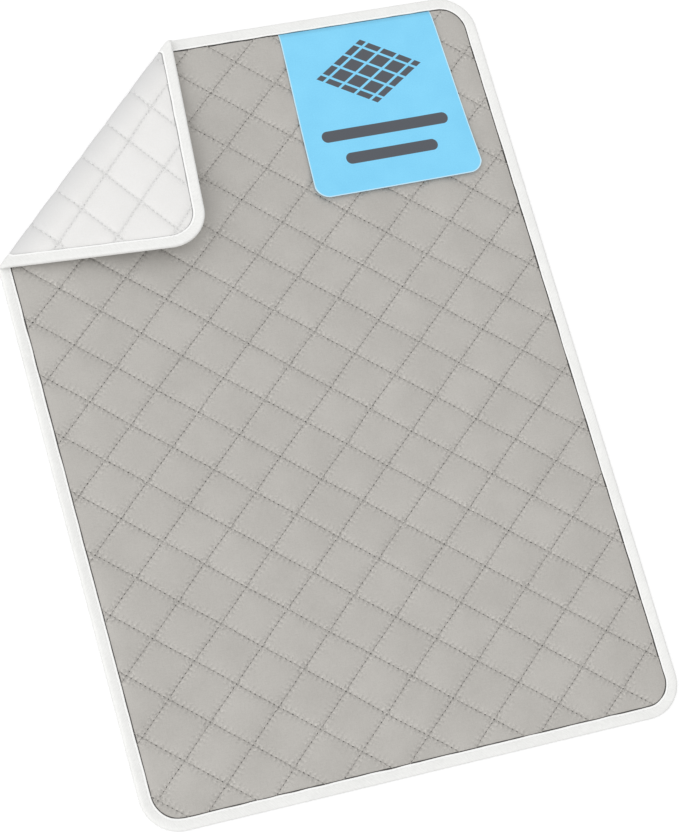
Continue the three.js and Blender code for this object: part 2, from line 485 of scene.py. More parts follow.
def corner_points(piece: Piece) -> Array:
    """Lists which point lies at each corner of each face.

    Args:
        piece: The piece.

    Returns:
        The points' numbers.
    """
    corners = np.empty(len(piece.data.loops), dtype=int)
    piece.data.loops.foreach_get("vertex_index", corners)
    return corners


def store_flat(piece: Piece, flat: Array, name: str = "flat") -> None:
    """Keeps a place on the flat cloth, in metres, as a UV map.

    Args:
        piece: The piece.
        flat: Two coordinates for each point of the mesh.
        name: The map's name.
    """
    layer = piece.data.uv_layers.new(name=name)
    layer.data.foreach_set("uv", flat[corner_points(piece)].astype(float).ravel())


def read_flat(piece: Piece) -> Array:
    """Reads each point's place on the flat cloth from the piece's UV map.

    Args:
        piece: The piece.

    Returns:
        Two coordinates for each point of the mesh.
    """
    corners = corner_points(piece)
    flat = np.empty(len(corners) * 2)
    piece.data.uv_layers["flat"].data.foreach_get("uv", flat)
    places = np.zeros((len(piece.data.vertices), 2))
    places[corners] = flat.reshape(-1, 2)
    return places


def shade_smooth(piece: Piece) -> None:
    """Shades all faces of a piece smooth."""
    piece.data.polygons.foreach_set("use_smooth", [True] * len(piece.data.polygons))


# Shader helpers


@dataclass
class Shade:
    """A shader socket that takes part in Python arithmetic."""

    finish: "FinishTree"
    socket: bpy.types.NodeSocket

    def maths(self, operation: str, *others: Value) -> "Shade":
        """Adds a Math node on this value and the others."""
        inputs = dict(enumerate((self, *others)))
        return self.finish.node("ShaderNodeMath", {"operation": operation}, inputs)

    def __add__(self, other: Value) -> "Shade":
        """Adds."""
        return self.maths("ADD", other)

    def __sub__(self, other: Value) -> "Shade":
        """Subtracts."""
        return self.maths("SUBTRACT", other)

    def __rsub__(self, other: float) -> "Shade":
        """Subtracts this from a number."""
        return self.finish.node("ShaderNodeMath", {"operation": "SUBTRACT"}, {0: other, 1: self})

    def __mul__(self, other: Value) -> "Shade":
        """Multiplies."""
        return self.maths("MULTIPLY", other)

    def __truediv__(self, other: Value) -> "Shade":
        """Divides."""
        return self.maths("DIVIDE", other)

    __radd__ = __add__
    __rmul__ = __mul__

    def ramp(self, low: float, high: Value) -> "Shade":
        """Goes smoothly from 0 at low to 1 at high."""
        sockets = {0: self, 1: low, 2: high, 3: 0.0, 4: 1.0}
        return self.finish.node("ShaderNodeMapRange", {"interpolation_type": "SMOOTHSTEP"}, sockets)

    def fade(self, low: float, high: Value) -> "Shade":
        """Goes smoothly from 1 at low to 0 at high."""
        return 1.0 - self.ramp(low, high)

    def least(self, other: Value) -> "Shade":
        """Takes the smaller value."""
        return self.maths("MINIMUM", other)

    def most(self, other: Value) -> "Shade":
        """Takes the larger value."""
        return self.maths("MAXIMUM", other)

    def size(self) -> "Shade":
        """Takes the value without its sign."""
        return self.maths("ABSOLUTE")

    def sine(self) -> "Shade":
        """Takes the sine."""
        return self.maths("SINE")

    def hypot(self, other: "Shade") -> "Shade":
        """Takes the distance that two values at right angles make."""
        return (self * self + other * other).maths("SQRT")

    def to_whole(self) -> "Shade":
        """Measures the distance to the nearest whole number."""
        return self.maths("PINGPONG", 0.5)


class FinishTree:
    """A material's node tree, with one way to add any node."""

    def __init__(self, name: str, world: Optional[bpy.types.World] = None) -> None:
        """Starts an empty material, or empties a world's tree.

        Args:
            name: The material's name.
            world: The world to use in place of a material.
        """
        self.material = world or bpy.data.materials.new(name)
        self.material.use_nodes = True
        self.tree = self.material.node_tree
        self.tree.nodes.clear()

    def node(
        self,
        kind: str,
        settings: Optional[dict[str, Any]] = None,
        sockets: Optional[dict[Union[str, int], Any]] = None,
        out: Union[str, int] = 0,
    ) -> Shade:
        """Adds a node.

        Args:
            kind: The node's type.
            settings: Properties that are set first.
            sockets: Values or links of its inputs, by name or number.
            out: The output to return, by name or number.

        Returns:
            The wanted output.
        """
        node = self.tree.nodes.new(kind)
        for key, value in (settings or {}).items():
            setattr(node, key, value)
        for key, value in (sockets or {}).items():
            if isinstance(value, Shade):
                self.tree.links.new(value.socket, node.inputs[key])
            else:
                node.inputs[key].default_value = value
        return Shade(self, node.outputs[out])

    def uv_map(self, name: str = "flat") -> Shade:
        """Reads one of the piece's UV maps."""
        return self.node("ShaderNodeUVMap", {"uv_map": name})

    def split(self, vector: Shade) -> tuple[Shade, Shade]:
        """Splits a place on the cloth into its two values."""
        first = self.node("ShaderNodeSeparateXYZ", sockets={0: vector})
        return first, Shade(self, first.socket.node.outputs[1])

    def noise(self, vector: Shade, scale: float, detail: float = 3.0, rough: float = 0.55) -> Shade:
        """Adds a noise between 0 and 1.

        Args:
            vector: Where the noise is read.
            scale: Cells for each metre.
            detail: Number of finer octaves.
            rough: Strength of the finer octaves.

        Returns:
            The noise's value.
        """
        sockets = {"Vector": vector, "Scale": scale, "Detail": detail, "Roughness": rough}
        return self.node("ShaderNodeTexNoise", sockets=sockets)

    def streaks(
        self, vector: Shade, size: tuple[float, float], detail: float, turn: float = 0.0
    ) -> Shade:
        """Adds a noise that is drawn out along one direction.

        Args:
            vector: Where the noise is read.
            size: Size of a cell along X and Y, in metres.
            detail: Number of finer octaves.
            turn: Angle of the cells about Z.

        Returns:
            The noise's value.
        """
        sockets = {"Vector": vector, "Scale": (*size, 1.0), "Rotation": (0.0, 0.0, turn)}
        drawn_out = self.node("ShaderNodeMapping", {"vector_type": "TEXTURE"}, sockets)
        return self.noise(drawn_out, 1.0, detail)

    def blend(self, amount: Value, low: Any, high: Any) -> Shade:
        """Mixes two colours."""
        settings = {"data_type": "RGBA", "blend_type": "MIX"}
        return self.node("ShaderNodeMix", settings, {0: amount, 6: low, 7: high}, out=2)

    def mottle(self, tone: Shade, dark: Color, light: Color) -> Shade:
        """Mixes a dark and a light colour by a tone that stays about its middle."""
        return self.blend(tone.ramp(0.3, 0.7), dark, light)

    def brighten(self, color: Shade, amount: Shade) -> Shade:
        """Multiplies a colour by a value."""
        sockets = {"Vector": color, "Scale": amount}
        return self.node("ShaderNodeVectorMath", {"operation": "SCALE"}, sockets)

    def close(
        self, color: Any, rough: Any, bump: Shade, depth: float, **plain: float
    ) -> bpy.types.Material:
        """Ends the material in a Principled surface.

        Args:
            color: Base colour, a value or a link.
            rough: Roughness, a value or a link.
            bump: Height that bends the normal, from 0 to 1.
            depth: Depth of that height, in metres.
            **plain: Further sockets with one value all over, with _ for each space.

        Returns:
            The material.
        """
        height = {"Height": bump, "Distance": depth, "Strength": 1.0}
        sockets = {"Base Color": color, "Roughness": rough}
        sockets["Normal"] = self.node("ShaderNodeBump", sockets=height)
        sockets.update({key.replace("_", " "): value for key, value in plain.items()})
        self.end(self.node("ShaderNodeBsdfPrincipled", sockets=sockets))
        return self.material

    def end(self, surface: Shade, kind: str = "ShaderNodeOutputMaterial") -> None:
        """Links a surface to the tree's output."""
        output = self.tree.nodes.new(kind)
        self.tree.links.new(surface.socket, output.inputs["Surface"])


def linear(*display: int) -> Color:
    """Turns a display colour into a linear one.

    Args:
        *display: Red, green and blue, 0 to 255.

    Returns:
        The linear colour, with full alpha.
    """
    shown = np.array(display) / 255.0
    light = np.where(shown <= 0.04045, shown / 12.92, ((shown + 0.055) / 1.055) ** 2.4)
    return (*light.tolist(), 1.0)


# Finishes


@dataclass(frozen=True)
class ClothFinish:
    """Woven cloth that is drawn in along quilting lines, in metres and cells for each metre."""

    name: str
    light: Color
    dark: Color
    # Colour of the painted shade along the stitch lines, as in their valleys.
    seam: Color
    # Colour of the painted shade in the needle holes and along the fold's crease.
    hole_and_crease_shade: Color
    # Colour of the painted shadow line beside the tape's inner edge.
    border: Color
    seam_shade_width: float
    seam_shade_strength: float
    hole_radius: float = 0.00042
    border_width: float = 0.0013
    border_strength: float = 0.95
    yarn: float = 0.0011
    slub: tuple[float, float] = (0.006, 0.0012)
    weave_depth: float = 0.00005
    pucker_depth: float = 0.0003
    pucker_start: float = 0.0003
    pucker_reach: float = 0.0085
    # Strength of the painted light and shade of the puckers.
    pucker_shading_strength: float = 0.0
    # Painted shade along the fold's crease: its strength, reach and falloff.
    crease_shade_strength: float = 0.0
    crease_shade_reach: float = 0.0210
    crease_shade_power: float = 1.3
    grain_scale: float = 900.0
    cloud_scale: float = 22.0
    speck_scale: float = 520.0
    patch_scale: float = 110.0
    prick_scale: float = 260.0

    def material(self, quilt: Quilt, plan: PadPlan, fold: Fold) -> bpy.types.Material:
        """Makes the cloth's material.

        Args:
            quilt: The stitch lines, which the cloth puckers along.
            plan: The pad's outline, for the shadow line beside the tape.
            fold: The turned corner, along whose crease shade is painted.

        Returns:
            The material, on the cloth's flat UV map.
        """
        tree = FinishTree(self.name)
        flat = tree.uv_map()
        tone, cells, grain = self.weave(tree, flat)
        lines = self.lines(tree, flat, quilt)
        ridges, holes = self.marks(tree, flat, lines, quilt)
        # Painted shade in a band along both sets of stitch lines.
        near = lines[0][0].least(lines[1][0]).fade(0.0, self.seam_shade_width)
        uneven = tree.noise(flat, self.prick_scale, 1.0).ramp(0.30, 0.60)
        woven = tree.mottle(tone, self.dark, self.light)
        # Painted light and shade: lighter on pucker ridges, darker in their hollows.
        pucker_shaded = tree.brighten(woven, 1.0 + ridges * self.pucker_shading_strength)
        seam_shaded = tree.blend(near * self.seam_shade_strength, pucker_shaded, self.seam)
        # Painted shade: dark dots where the needle holes are.
        pricked = tree.blend(holes * (0.25 + uneven * 0.75), seam_shaded, self.hole_and_crease_shade)
        color = self.edged(tree, pricked, plan, fold)
        height = ridges - holes * 0.6 + cells * (self.weave_depth / self.pucker_depth)
        sheen = {"Specular_IOR_Level": 0.2, "Sheen_Weight": 0.15, "Sheen_Roughness": 0.5}
        return tree.close(color, 0.84 + grain * 0.12, height, self.pucker_depth, **sheen)

    def weave(self, tree: FinishTree, flat: Shade) -> tuple[Shade, Shade, Shade]:
        """Weaves the cloth from crossing yarns.

        Args:
            tree: The material's tree.
            flat: The place on the flat cloth.

        Returns:
            The weave's tone, its height and its finest grain, each 0 to 1.
        """
        warp, weft = ((place * (math.tau / self.yarn)).sine() for place in tree.split(flat))
        slubs = tree.streaks(flat, self.slub, 2.0) + tree.streaks(flat, self.slub[::-1], 2.0)
        grain = tree.noise(flat, self.grain_scale, 4.0, 0.7)
        tone = tree.noise(flat, self.cloud_scale) * 0.30 + grain * 0.40 + slubs * 0.15
        height = (warp * weft * 0.5 + 0.5) * 0.35 + grain * 0.45 + slubs * 0.2
        return tone, height, grain

    def lines(self, tree: FinishTree, flat: Shade, quilt: Quilt) -> list[tuple[Shade, Shade]]:
        """Measures a place against both sets of stitch lines.

        Args:
            tree: The material's tree.
            flat: The place on the flat cloth.
            quilt: The stitch lines.

        Returns:
            The distance from the nearest line and the crossings passed along it, for each set.
        """
        x, y = tree.split(flat)
        inverse = np.linalg.inv(quilt.steps)
        shift = inverse @ np.array(quilt.crossing)
        rising, falling = (
            x * float(row[0]) + y * float(row[1]) - float(start)
            for row, start in zip(inverse, shift)
        )
        pairs = ((rising, falling), (falling, rising))
        return [(across.to_whole() * quilt.pitch, along) for across, along in pairs]

    def marks(
        self, tree: FinishTree, flat: Shade, lines: list[tuple[Shade, Shade]], quilt: Quilt
    ) -> tuple[Shade, Shade]:
        """Pricks needle holes along the lines and puckers the cloth beside them.

        Args:
            tree: The material's tree.
            flat: The place on the flat cloth.
            lines: The place against both sets of lines.
            quilt: The stitch lines.

        Returns:
            The puckers' height, about 0, and the holes' strength, 0 to 1.
        """
        crease = tree.noise(flat, self.speck_scale, 2.0, 0.6) - 0.5
        patch = tree.noise(flat, self.patch_scale, 2.0)
        ridges, holes = [], []
        for gap, along in lines:
            stitch = along * float(quilt.stitches)
            wave = (stitch * math.tau + crease * 7.0).sine() * 0.15
            reach = gap.fade(self.pucker_start, patch * 2.0 * self.pucker_reach)
            ridges.append((wave + crease * 1.6) * reach)
            apart = stitch.to_whole() * (0.5 * quilt.edge / quilt.stitches)
            away = apart.hypot(gap)
            holes.append(away.fade(self.hole_radius * 0.6, self.hole_radius * 1.2))
        return ridges[0] + ridges[1], holes[0].most(holes[1])

    def edged(self, tree: FinishTree, color: Shade, plan: PadPlan, fold: Fold) -> Shade:
        """Paints shade along the fold's crease and paints a shadow line beside the tape.

        Args:
            tree: The material's tree.
            color: The cloth's colour.
            plan: The pad's outline.
            fold: The turned corner.

        Returns:
            The new colour.
        """
        x, y = tree.split(tree.uv_map("place"))
        beyond = (x - fold.hinge.x) * fold.normal.x + (y - fold.hinge.y) * fold.normal.y
        # Painted shade: darker towards the fold's crease.
        crease_shade = (1.0 - beyond.size() / self.crease_shade_reach).most(0.0).maths("POWER", self.crease_shade_power)
        crease_shaded = tree.blend(crease_shade * self.crease_shade_strength, color, self.hole_and_crease_shade)
        right, top = (part.size() - at for part, at in zip((x, y), plan.corner_centre))
        outside = right.most(0.0).hypot(top.most(0.0))
        depth = plan.corner_radius - outside - right.most(top).least(0.0)
        # Painted shadow line just inside the tape's inner edge.
        beside = (depth - plan.tape_width).fade(self.border_width * 0.65, self.border_width)
        return tree.blend(beside * self.border_strength, crease_shaded, self.border)


@dataclass(frozen=True)
class TapeFinish:
    """White woven tape with slanting ribs, in metres and cells for each metre."""

    name: str = "binding_tape"
    light: Color = linear(245, 245, 243)
    dark: Color = linear(232, 232, 230)
    # Colour of the painted highlight along the tape's turned-in edges.
    lip: Color = linear(254, 254, 253)
    lip_highlight_width: float = 0.0017
    twill: float = 0.0016
    twill_slope: float = 0.8
    streak: tuple[float, float] = (0.0010, 0.0050)
    streak_turn: float = math.radians(38.0)
    grain_scale: float = 1000.0
    cloud_scale: float = 40.0
    depth: float = 0.00014

    def material(self, width: float) -> bpy.types.Material:
        """Makes the tape's material on its length and width.

        Args:
            width: The tape's flat width.

        Returns:
            The material, with its weave slanting across the tape and a painted highlight along its
            turned-in edges.
        """
        tree = FinishTree(self.name)
        flat = tree.uv_map()
        along, across = tree.split(flat)
        grain = tree.noise(flat, self.grain_scale, 4.0, 0.7)
        streak = tree.streaks(flat, self.streak, 3.0, self.streak_turn)
        slant = (along + across * self.twill_slope) * (math.tau / self.twill)
        ribs = (slant + grain * 2.0).sine() * 0.5 + 0.5
        tone = tree.noise(flat, self.cloud_scale) * 0.25 + grain * 0.25 + streak * 0.5
        woven = tree.mottle(tone, self.dark, self.light)
        # Painted highlight: whiter along both turned-in edges of the tape.
        lip = across.least(width - across).fade(self.lip_highlight_width * 0.8, self.lip_highlight_width * 1.1)
        color = tree.blend(lip * 0.8, woven, self.lip)
        height = ribs * 0.35 + grain * 0.3 + streak * 0.6
        sheen = {"Specular_IOR_Level": 0.25, "Sheen_Weight": 0.1}
        return tree.close(color, 0.78 + grain * 0.12, height, self.depth, **sheen)


@dataclass(frozen=True)
class FibreFinish:
    """Flecked fibres, by default twisted sewing thread, in metres and cells for each metre."""

    name: str
    light: Color
    dark: Color
    scale: float = 1500.0
    detail: float = 2.0
    grit: float = 0.55
    clump_scale: float = 90.0
    clump_share: float = 0.0
    smoothest: float = 0.6
    roughening: float = 0.25
    depth: float = 0.00008
    specular: float = 0.3

    def material(self) -> bpy.types.Material:
        """Makes the fibres' material on Object coordinates.

        Returns:
            The material.
        """
        tree = FinishTree(self.name)
        place = tree.node("ShaderNodeTexCoord", out="Object")
        fibre = tone = tree.noise(place, self.scale, self.detail, self.grit)
        if self.clump_share:
            clump = tree.noise(place, self.clump_scale)
            tone = fibre * (1.0 - self.clump_share) + clump * self.clump_share
        color = tree.mottle(tone, self.dark, self.light)
        rough = self.smoothest + fibre * self.roughening
        return tree.close(color, rough, tone, self.depth, Specular_IOR_Level=self.specular)


@dataclass(frozen=True)
class LabelFinish:
    """Satin light blue sheet with a plain diamond print, in cells for each metre."""

    name: str = "label_sheet"
    light: Color = linear(133, 216, 252)
    dark: Color = linear(124, 208, 246)
    ink: Color = linear(80, 84, 91)
    # Colour of the painted highlight along the sheet's sides and lower edge.
    rim_highlight: Color = linear(212, 240, 252)
    # Colour of the painted shade under the tape's lip and the painted shadow line at its edge.
    gap: Color = linear(46, 74, 88)
    fibre_scale: float = 700.0
    cloud_scale: float = 30.0
    depth: float = 0.00003
    ink_edge: float = 0.0002

    def material(self, label: "Label", printed: bool = True) -> bpy.types.Material:
        """Makes the sheet's material.

        Args:
            label: The label, whose sizes place the print.
            printed: Whether this is the printed side.

        Returns:
            The material, on the label's flat UV map.
        """
        tree = FinishTree(self.name)
        flat = tree.uv_map()
        x, y = tree.split(flat)
        fibre = tree.noise(flat, self.fibre_scale, 3.0, 0.6)
        cloud = tree.noise(flat, self.cloud_scale, 2.0)
        base = tree.mottle(fibre * 0.5 + cloud * 0.5, self.dark, self.light)
        # Painted highlight: paler along the sheet's sides and lower edge.
        pale = self.from_edge(x, y, label).fade(label.rim_highlight_width * 0.6, label.rim_highlight_width)
        color = tree.blend(pale * 0.8, base, self.rim_highlight)
        rough = 0.42 + fibre * 0.12
        if printed:
            ink = self.drawn(x, y, label)
            inked = tree.blend(ink, color, self.ink)
            # Painted shade below the tape's lip, with a darker painted shadow line right at its
            # edge.
            tape_shade = y.fade(0.0, label.shade_reach)
            tape_shadow_line = y.fade(label.tape_shadow_width * 0.6, label.tape_shadow_width)
            color = tree.blend((tape_shade * 0.22).most(tape_shadow_line * 0.85), inked, self.gap)
            rough = rough + ink * 0.06
        return tree.close(color, rough, fibre, self.depth, Specular_IOR_Level=0.4, Coat_Weight=0.05)

    def from_edge(self, x: Shade, y: Shade, label: "Label") -> Shade:
        """Measures how far inside the sheet's sides and lower edge a place lies.

        Args:
            x: Distance across from the label's middle.
            y: Distance down from the tape.
            label: The label.

        Returns:
            The distance, where it is less than the rounding of the corners.
        """
        widening = (label.bottom_width - label.top_width) / (2 * label.drop)
        over = (x.size() - y * widening - (label.top_width / 2 - label.rounding)).most(0.0)
        below = (y - (label.drop - label.rounding)).most(0.0)
        return label.rounding - over.hypot(below)

    def drawn(self, x: Shade, y: Shade, label: "Label") -> Shade:
        """Draws the quilting in small, a diamond of diamonds, and two plain bars under it.

        Args:
            x: Distance across from the label's middle.
            y: Distance down from the tape.
            label: The label.

        Returns:
            The ink's strength, 0 to 1.
        """
        across = x / label.motif_width
        down = (y - label.motif_drop) / label.motif_height
        inside = (across.size() + down.size()).fade(0.985, 1.0)
        first, second = ((way * 2.0 + 0.5).to_whole() for way in (across + down, across - down))
        ink = inside * first.least(second).ramp(0.07, 0.09)
        round_end = label.bar_height / 2
        for drop, half in zip(label.bar_drops, label.bar_halves):
            reach = (x.size() - (half - round_end)).most(0.0).hypot(y - drop)
            ink = ink.most(reach.fade(round_end - self.ink_edge, round_end + self.ink_edge))
        return ink


# Pieces


class Side(Enum):
    """The two quilted faces of the pad."""

    COVER = "cover"
    BACKING = "backing"


class LabelFace(IntEnum):
    """The faces of the label, in the order of its materials."""

    FRONT = 0
    EDGE = 1
    BACK = 2


@dataclass(frozen=True)
class Swelling:
    """Cloth simulation that swells a sheet between the seams that hold it."""

    scale: float = 25.0
    pressure: float = 1.6
    spare: float = 0.025
    frames: int = 18
    quality: int = 4
    mass: float = 0.3
    stretch_stiffness: float = 15.0
    shear_stiffness: float = 5.0
    bending_stiffness: float = 0.05

    def run(self, piece: Piece, held: Array) -> None:
        """Swells a flat sheet upwards and keeps the result in its mesh.

        Args:
            piece: The flat sheet.
            held: A mask of the points that the seams hold.
        """
        write_points(piece, read_points(piece) * self.scale)
        group = piece.vertex_groups.new(name="held")
        group.add(np.flatnonzero(held).tolist(), 1.0, "REPLACE")
        only_select(piece)
        cloth = piece.modifiers.new("Swelling", "CLOTH")
        settings = {
            "quality": self.quality,
            "mass": self.mass,
            "tension_stiffness": self.stretch_stiffness,
            "compression_stiffness": self.stretch_stiffness,
            "shear_stiffness": self.shear_stiffness,
            "bending_stiffness": self.bending_stiffness,
            "vertex_group_mass": group.name,
            "use_pressure": True,
            "uniform_pressure_force": self.pressure,
            "shrink_min": -self.spare,
        }
        for key, value in settings.items():
            setattr(cloth.settings, key, value)
        cloth.settings.effector_weights.gravity = 0.0
        cloth.collision_settings.use_collision = False
        cloth.collision_settings.use_self_collision = False
        cloth.point_cache.frame_end = self.frames
        for step in range(1, self.frames + 1):
            bpy.context.scene.frame_set(step)
        bpy.ops.object.modifier_apply(modifier=cloth.name)
        bpy.context.scene.frame_set(1)
        piece.vertex_groups.clear()
        write_points(piece, read_points(piece) / self.scale)


@dataclass
class QuiltedLayer:
    """A layer of the pad that is cut on the quilting's own grid, in metres.

    Faces lie closer together beside the stitch lines by its gathering, and whole faces stay
    outside the outline by its spare until the layer is trimmed.
    """

    plan: PadPlan
    quilt: Quilt
    fold: Fold
    divisions: int
    inset: float
    spare: float
    gathering: float
    piece: Optional[Piece] = None

    def lay(self, name: str) -> Piece:
        """Cuts the flat layer.

        Args:
            name: The piece's name.

        Returns:
            The layer, with its place on the straight lattice as its UV map.
        """
        count = self.quilt.cells * self.divisions
        piece = add_grid(name, count, count, size=self.quilt.cells)
        lattice = read_points(piece)[:, :2]
        whole = np.floor(lattice + TINY)
        part = lattice - whole
        graded = part - self.gathering * np.sin(math.tau * part) / math.tau
        straight = self.quilt.to_plan(whole + graded)
        plan = self.quilt.sewn(straight)
        write_points(piece, np.column_stack([plan, np.zeros(len(plan))]))
        store_flat(piece, straight)
        depth = self.plan.depth(read_rows(piece.data.polygons, "center"))
        delete_faces(piece, depth < -self.spare)
        cut(piece, self.plan.tangents(self.inset), trim=True)
        return piece


@dataclass
class QuiltedSheet(QuiltedLayer):
    """One quilted cloth of the pad, the grey cover or the white backing, in metres."""

    divisions: int = 18
    inset: float = 0.004
    spare: float = 0.005
    gathering: float = 0.78
    side: Side = Side.COVER
    finish: Optional[ClothFinish] = None
    swelling: Swelling = Swelling()
    steepness: float = 0.55
    full_percent: float = 98.0
    fullest: float = 1.12
    border_reach: float = 0.014
    tape_hold: float = 0.001
    seam_hold: float = 0.0002
    hold_reach: float = 0.0050
    hold_power: float = 0.6
    pucker: Ripple = Ripple(0.00025, 0.0075, seed=3, waves=24)
    pucker_start: float = 0.0018
    pucker_reach: float = 0.006

    @property
    def seam_level(self) -> float:
        """Gives the height of the stitch lines."""
        return self.plan.cover_seam if self.side is Side.COVER else self.plan.backing_seam

    @property
    def crown_level(self) -> float:
        """Gives the height of the middle of a diamond."""
        return self.plan.cover_crown if self.side is Side.COVER else self.plan.backing_crown

    def level(self, points: Array, straight: Array) -> Array:
        """Gives the cloth's height without its small puckers.

        Args:
            points: Places on the flat pad.
            straight: The same places on the straight lattice.

        Returns:
            The heights.
        """
        depth = self.plan.depth(points) - self.plan.tape_width
        border = np.sqrt(np.clip(depth / self.border_reach, 0.0, 1.0))
        swell = self.crown_level - self.seam_level
        return self.seam_level + swell * self.quilt.puff(straight) * border

    def build(self) -> Piece:
        """Makes the flat cloth, swells it and turns its corner.

        Returns:
            The finished piece.
        """
        piece = self.lay(self.side.value)
        points = read_points(piece)
        points[:, 2] = 0.0
        store_flat(piece, points[:, :2], "place")
        straight = read_flat(piece)
        points = self.swollen(piece, points, straight)
        if self.side is Side.BACKING:
            with editing(piece):
                bpy.ops.mesh.flip_normals()
        write_points(piece, points)
        self.fold.turn_over(piece, self.plan)
        self.piece = piece
        return piece

    def swollen(self, piece: Piece, flat: Array, straight: Array) -> Array:
        """Swells the cloth by simulation between its stitch lines and its bound edge.

        Args:
            piece: The flat cloth.
            flat: Its points.
            straight: The same points on the straight lattice.

        Returns:
            The points of the swollen cloth.
        """
        inside = self.plan.depth(flat) - self.plan.tape_width
        held = (inside < -self.tape_hold) | (self.quilt.seam_distance(straight) < self.seam_hold)
        self.swelling.run(piece, held)
        points = read_points(piece)
        full = float(np.percentile(points[:, 2], self.full_percent))
        rise = np.clip(points[:, 2] / full, 0.0, self.fullest) ** self.steepness
        rise *= np.clip(inside / self.hold_reach, 0.0, 1.0) ** self.hold_power
        LOG.info("%s swells %.2f mm", self.side.value, full / MM)
        swell = self.crown_level - self.seam_level
        points[:, 2] = self.seam_level + swell * rise + self.wrinkles(straight)
        return points

    def wrinkles(self, points: Array) -> Array:
        """Gives small puckers beside the stitch lines, half as high on the backing.

        Args:
            points: Places on the straight lattice.

        Returns:
            The puckers' heights, about 0.
        """
        gap = self.quilt.seam_distance(points)
        near = np.exp(-gap / self.pucker_reach) * smooth(gap / self.pucker_start)
        share = 1.0 if self.side is Side.COVER else 0.5
        return share * near * self.pucker.over(points)

    def dress(self) -> None:
        """Gives the cloth its finish and hides the CAD parts that it replaces."""
        self.piece.data.materials.append(self.finish.material(self.quilt, self.plan, self.fold))
        nodes = [f"{self.side.value}_{part}" for part in ("panel", "fold", "corner")]
        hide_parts(*nodes)


@dataclass
class Wadding(QuiltedLayer):
    """Felt between the two cloths, in metres."""

    divisions: int = 4
    inset: float = 0.005
    spare: float = 0.010
    gathering: float = 0.0
    finish: Optional[FibreFinish] = None
    cover: Optional[QuiltedSheet] = None
    backing: Optional[QuiltedSheet] = None
    fullness: float = 0.7
    first_thickness: float = 0.001

    def build(self) -> Piece:
        """Makes the closed felt layer between the two cloths.

        Returns:
            The finished piece.
        """
        piece = self.lay("wadding")
        thicken(piece, self.first_thickness, offset=0.0)
        points = read_points(piece)
        straight = read_flat(piece)
        low = self.filled(self.backing, points, straight) + self.plan.wadding_skin
        high = self.filled(self.cover, points, straight) - self.plan.wadding_skin
        points[:, 2] = np.where(points[:, 2] > 0.0, high, low)
        write_points(piece, points)
        self.fold.turn_over(piece, self.plan)
        self.piece = piece
        return piece

    def filled(self, cloth: QuiltedSheet, points: Array, straight: Array) -> Array:
        """Gives heights that fill a cloth's puffs without reaching the cloth."""
        return cloth.seam_level + self.fullness * (cloth.level(points, straight) - cloth.seam_level)

    def dress(self) -> None:
        """Gives the felt its finish and hides the CAD parts that it replaces."""
        self.piece.data.materials.append(self.finish.material())
        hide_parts("wadding_panel", "wadding_fold", "wadding_corner")


